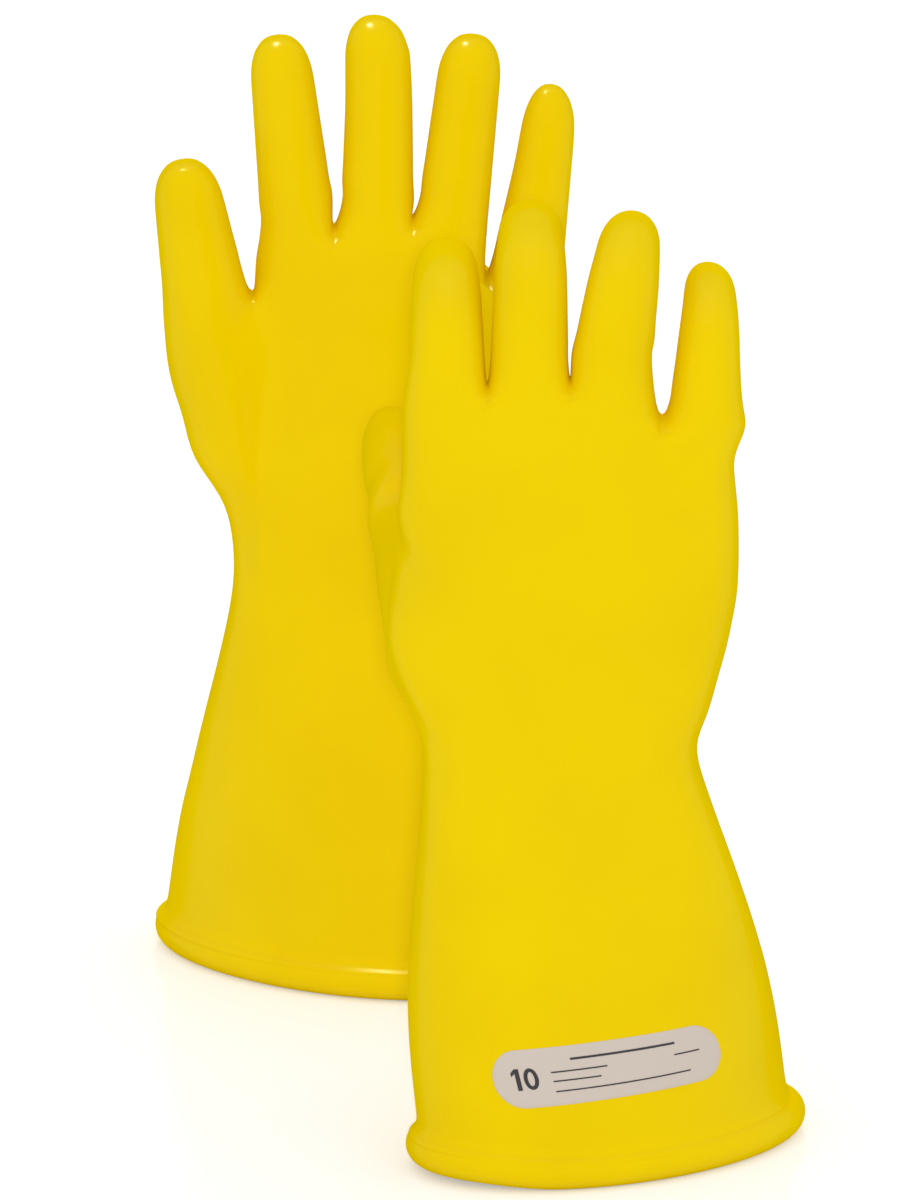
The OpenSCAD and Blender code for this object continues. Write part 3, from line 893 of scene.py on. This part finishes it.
# The label: a thin coated patch with round ends, bonded to the back of the cuff, with plain printed marks.
label = {
    "length": 84,
    "height": 20.5,
    "rise": 41.2,  # its middle above the floor
    "aside": 5.5,  # its middle beside the middle of the back
    "arch": 0.9,  # how far its middle stands above the line of its ends
    "tilt": 0.045,  # its rise for each millimetre along it
    "thick": 0.3,
    "bond": 0.05,  # the gap to the skin
    "ink": 0.1,  # how far the print stands off the patch
    "along": 40,  # steps along each side
    "round": 24,  # steps round each end
    "wrapSteps": 40,  # steps in which a length is laid round the cuff
    "reach": 1,  # how far outside the oval the search for the skin starts
    "edge": [(0, 0), (0.05, 0.6), (0.3, 1)],  # in from the outline, and the share of the thickness there
    "insets": [1.5, 3.5, 5.5, 7.5, 9.2],
}


# The angle of the oval's point straight behind its middle.
def labelStart():
    _, halfWidth, halfDepth, _, twist = bodyOval("right", label["rise"])
    return -math.pi + math.atan2(halfWidth * math.cos(twist), halfDepth * math.sin(twist))


# The angle round the cuff at a distance along its face.
def labelAngle(u):
    _, halfWidth, halfDepth, _, _ = bodyOval("right", label["rise"])
    angle = labelStart()
    for _ in range(label["wrapSteps"]):
        speed = math.hypot(halfWidth * math.sin(angle), halfDepth * math.cos(angle))
        angle += u / label["wrapSteps"] / speed
    return angle


# A glove's skin, for the label to lie on.
class Skin:
    def __init__(self, side, mesh):
        self.side = side
        self.tree = BVHTree.FromPolygons([tuple(v.co) for v in mesh.vertices], facesOf(mesh))

    # A point of the label, laid on the skin and lifted off it.
    def point(self, u, v, lift):
        v += label["arch"] * (1 - (2 * u / label["length"]) ** 2) + label["tilt"] * u
        flat = bodyPoint(self.side, labelAngle(u + label["aside"]), label["rise"] + v, label["reach"])
        near, normal, _, _ = self.tree.find_nearest(Vector(put(self.side, flat)))
        return np.array(near + normal * (lift * mm))


# The outline of a strip with round ends, drawn in from the label's own edge.
def labelLoop(inset):
    half = label["height"] / 2
    straight = label["length"] / 2 - half
    r = half - inset
    sides = [k / label["along"] for k in range(label["along"])]
    ends = [math.pi * k / label["round"] for k in range(label["round"])]
    loop = [(mix(-straight, straight, t), -r) for t in sides]
    loop += [(straight + r * math.sin(a), -r * math.cos(a)) for a in ends]
    loop += [(mix(straight, -straight, t), r) for t in sides]
    loop += [(-straight - r * math.sin(a), r * math.cos(a)) for a in ends]
    return loop


# The faces, turned over if they look into the glove.
def facingOut(points, faces, side):
    a, b, c = [np.array(points[k]) for k in faces[len(faces) // 2][:3]]
    out = np.cross(b - a, c - a)
    away = a - np.array(mounts[side + "_cuff_opening"]["pos_m"])
    away[2] = 0
    return faces if np.dot(out, away) > 0 else [f[::-1] for f in faces]


def labelPatch(side, skin, material):
    lift = label["bond"] + label["thick"]
    loops = [(inset, lift * share) for inset, share in label["edge"]]
    loops += [(inset, lift) for inset in label["insets"]]
    points = []
    for inset, height in loops:
        points += [skin.point(u, v, height) for u, v in labelLoop(inset)]
    m = label["along"]
    r = label["round"]
    n = 2 * (m + r)
    faces = []
    for k in range(len(loops) - 1):
        for i in range(n):
            j = (i + 1) % n
            faces.append((k * n + i, k * n + j, (k + 1) * n + j, (k + 1) * n + i))
    last = (len(loops) - 1) * n
    for i in range(m):
        faces.append((last + i, last + i + 1, last + 2 * m + r - i - 1, last + 2 * m + r - i))
    faces.append(tuple(last + k for k in range(m, m + r + 1)))
    faces.append(tuple(last + k % n for k in range(2 * m + r, n + 1)))
    made = meshObject(side + "_patch", points, facingOut(points, faces, side))
    smoothShade(made.data)
    made.data.materials.append(material)
    return made


# Plain print on the patch, as places from its middle: the size, 10, and blank rules. Each rule has its start,
# its end, its height on the patch and its width.
marks = {
    "oneFoot": [(-33.8, -3.8), (-32.2, -3.8)],
    "oneTop": [(-33.8, 3.8), (-32.2, 3.8)],
    "oneRows": 8,
    "flagFoot": [(-35.2, 1.2), (-33.8, 2.2)],
    "flagTop": [(-35.2, 2.5), (-33.8, 3.8)],
    "zeroMiddle": -28.4,
    "zeroInside": (1.15, 2.5),
    "zeroOutside": (2.6, 3.8),
    "zeroSteps": 32,
    "rules": [
        (-13, 24, 5.6, 0.8),
        (-21, -1, 1.6, 0.5),
        (-21, -4, -1.6, 0.5),
        (-21, 28, -5.2, 0.5),
        (23, 33, 1.4, 0.5),
    ],
    "ruleStep": 2,
}


def labelMarks(side, skin, material):
    turn = poses[side]["flip"]
    lift = label["bond"] + label["thick"] + label["ink"]
    points = []
    faces = []

    def strip(lower, upper, rows=1):
        start = len(points)
        n = rows + 1
        for a, b in zip(lower, upper):
            for r in range(n):
                points.append(skin.point(turn * mix(a[0], b[0], r / rows), mix(a[1], b[1], r / rows), lift))
        for k in range(len(lower) - 1):
            for r in range(rows):
                a = start + n * k + r
                faces.append((a, a + n, a + n + 1, a + 1))

    def zeroLoop(halfWidth, halfHeight):
        turns = [2 * math.pi * k / marks["zeroSteps"] for k in range(marks["zeroSteps"] + 1)]
        return [(marks["zeroMiddle"] + halfWidth * math.cos(a), halfHeight * math.sin(a)) for a in turns]

    strip(marks["oneFoot"], marks["oneTop"], marks["oneRows"])
    strip(marks["flagFoot"], marks["flagTop"])
    strip(zeroLoop(*marks["zeroInside"]), zeroLoop(*marks["zeroOutside"]))
    for start, end, v, width in marks["rules"]:
        steps = max(2, int((end - start) / marks["ruleStep"]))
        line = [mix(start, end, k / steps) for k in range(steps + 1)]
        strip([(u, v - width / 2) for u in line], [(u, v + width / 2) for u in line])
    made = meshObject(side + "_patchMarks", points, facingOut(points, faces, side))
    made.data.materials.append(material)
    return made


# Coated vinyl, rolled out as an even sheet, and the ink screened on it: both plain and nearly matt. Their
# grain is finer than 0.1 mm, too fine to show, so it is drawn 1.1 mm across.
vinylLook = {"colour": "#D1C5BB", "roughness": 0.55}
inkLook = {"colour": "#3D3B3E", "roughness": 0.6}
flatGrain = {"size": 1.1, "strength": 0.08, "depth": 0.2, "gloss": 0.25}


def labelMaterial(name, look):
    material = newMaterial(name)
    place = addNode(material, "ShaderNodeTexCoord")
    grain = addNode(
        material, "ShaderNodeTexNoise",
        values={"Scale": noiseScale(flatGrain["size"]), "Detail": 2},
        links={"Vector": (place, "Object")},
    )
    bump = addNode(
        material, "ShaderNodeBump",
        values={"Strength": flatGrain["strength"], "Distance": flatGrain["depth"] * mm},
        links={"Height": (grain, "Fac")},
    )
    surface = addNode(
        material, "ShaderNodeBsdfPrincipled",
        values={
            "Base Color": linear(look["colour"]),
            "Roughness": look["roughness"],
            "Specular IOR Level": flatGrain["gloss"],
        },
        links={"Normal": (bump, "Normal")},
    )
    addNode(material, "ShaderNodeOutputMaterial", links={"Surface": (surface, "BSDF")})
    return material


coatedVinyl = labelMaterial("coatedVinyl", vinylLook)
printedInk = labelMaterial("printedInk", inkLook)
for side in ("right", "left"):
    skin = Skin(side, skins[side])
    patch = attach(labelPatch(side, skin, coatedVinyl), side + "_glove")
    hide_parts(side + "_label")
    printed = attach(labelMarks(side, skin, printedInk), side + "_glove")
print("labels made")


# What is seen directly, in gloss or through glass: 1 for those rays and 0 for the light on the object.
def plainlySeen(owner):
    path = addNode(owner, "ShaderNodeLightPath")
    shown = addNode(
        owner, "ShaderNodeMath", {"operation": "MAXIMUM"},
        links={0: (path, "Is Camera Ray"), 1: (path, "Is Glossy Ray")},
    )
    return addNode(
        owner, "ShaderNodeMath", {"operation": "MAXIMUM"},
        links={0: (shown, 0), 1: (path, "Is Transmission Ray")},
    )


# A matt white floor, which keeps the object's shadow and glows a little where it is seen directly.
floorLook = {"half": 12, "white": 0.86, "glow": 0.3}


def grey(level):
    return (level, level, level, 1)


def paleFloor():
    material = newMaterial("paleFloor")
    matt = addNode(material, "ShaderNodeBsdfDiffuse", values={"Color": grey(floorLook["white"])})
    glow = addNode(
        material, "ShaderNodeEmission",
        values={"Color": grey(floorLook["glow"])},
        links={"Strength": (plainlySeen(material), 0)},
    )
    both = addNode(material, "ShaderNodeAddShader", links={0: (matt, 0), 1: (glow, 0)})
    addNode(material, "ShaderNodeOutputMaterial", links={"Surface": (both, "Shader")})
    return material


half = floorLook["half"]
corners = [(-half, -half, 0), (half, -half, 0), (half, half, 0), (-half, half, 0)]
floor = meshObject("floor", corners, [(0, 1, 2, 3)])
floor.data.materials.append(paleFloor())

# An even pale room. What is seen of it directly, in gloss or through glass is plain white.
roomLook = {"light": 0.73, "shown": 1.0}


def paleRoom():
    world = bpy.data.worlds.new("paleRoom")
    bpy.context.scene.world = world
    world.use_nodes = True
    world.node_tree.nodes.clear()
    light = addNode(world, "ShaderNodeBackground", values={"Color": grey(1), "Strength": roomLook["light"]})
    white = addNode(world, "ShaderNodeBackground", values={"Color": grey(1), "Strength": roomLook["shown"]})
    both = addNode(
        world, "ShaderNodeMixShader",
        links={0: (plainlySeen(world), 0), 1: (light, 0), 2: (white, 0)},
    )
    addNode(world, "ShaderNodeOutputWorld", links={"Surface": (both, 0)})


paleRoom()

# The lamps, in metres: a soft one overhead, a narrow one that is only seen as glints on the fingertips, and
# two far ones, in front and behind, that light the colours and aren't seen in the gloss.
lamps = {
    "overhead": {"place": (-0.06, 0.25, 2.3), "target": (-0.06, 0.1, 0.3), "size": 1.2, "energy": 3.4},
    "glint": {
        "place": (-0.23, 0.1, 0.95),
        "target": (-0.08, 0.2, 0.34),
        "size": 0.1,
        "energy": 0.16,
        "seenBy": "gloss",
        "spread": 22,
    },
    "front": {
        "place": (-0.054, -6.8, 2.42),
        "target": (-0.054, 0, 0.2),
        "size": 0.5,
        "energy": 130,
        "seenBy": "colour",
    },
    "behind": {
        "place": (-0.054, 6.8, 2.42),
        "target": (-0.054, 0, 0.2),
        "size": 0.5,
        "energy": 115,
        "seenBy": "colour",
    },
}


def aimAt(made, place, target):
    made.location = place
    made.rotation_euler = (Vector(target) - Vector(place)).to_track_quat("-Z", "Y").to_euler()
    bpy.context.collection.objects.link(made)


for name, plan in lamps.items():
    lampData = bpy.data.lights.new(name, "AREA")
    lampData.size = plan["size"]
    lampData.energy = plan["energy"]
    if "spread" in plan:
        lampData.spread = math.radians(plan["spread"])
    lamp = bpy.data.objects.new(name, lampData)
    aimAt(lamp, plan["place"], plan["target"])
    lamp.visible_camera = False
    lamp.visible_diffuse = plan.get("seenBy") != "gloss"
    lamp.visible_glossy = plan.get("seenBy") != "colour"
print("floor, room and lamps set")

# The camera stands well back with a long lens and looks a little down. Its places are in metres.
cameraPlan = {
    "place": (-0.0538, -3.8993, 1.4676),
    "target": (-0.0538, 0, 0.20065),
    "lens": 356.7,
    "sensor": 36,
    "clipEnd": 50,
}
cameraData = bpy.data.cameras.new("camera")
cameraData.sensor_fit = "VERTICAL"
cameraData.sensor_height = cameraPlan["sensor"]
cameraData.lens = cameraPlan["lens"]
cameraData.clip_end = cameraPlan["clipEnd"]
camera = bpy.data.objects.new("camera", cameraData)
aimAt(camera, cameraPlan["place"], cameraPlan["target"])
scene = bpy.context.scene
scene.camera = camera
scene.view_settings.view_transform = "Standard"
print("camera set")
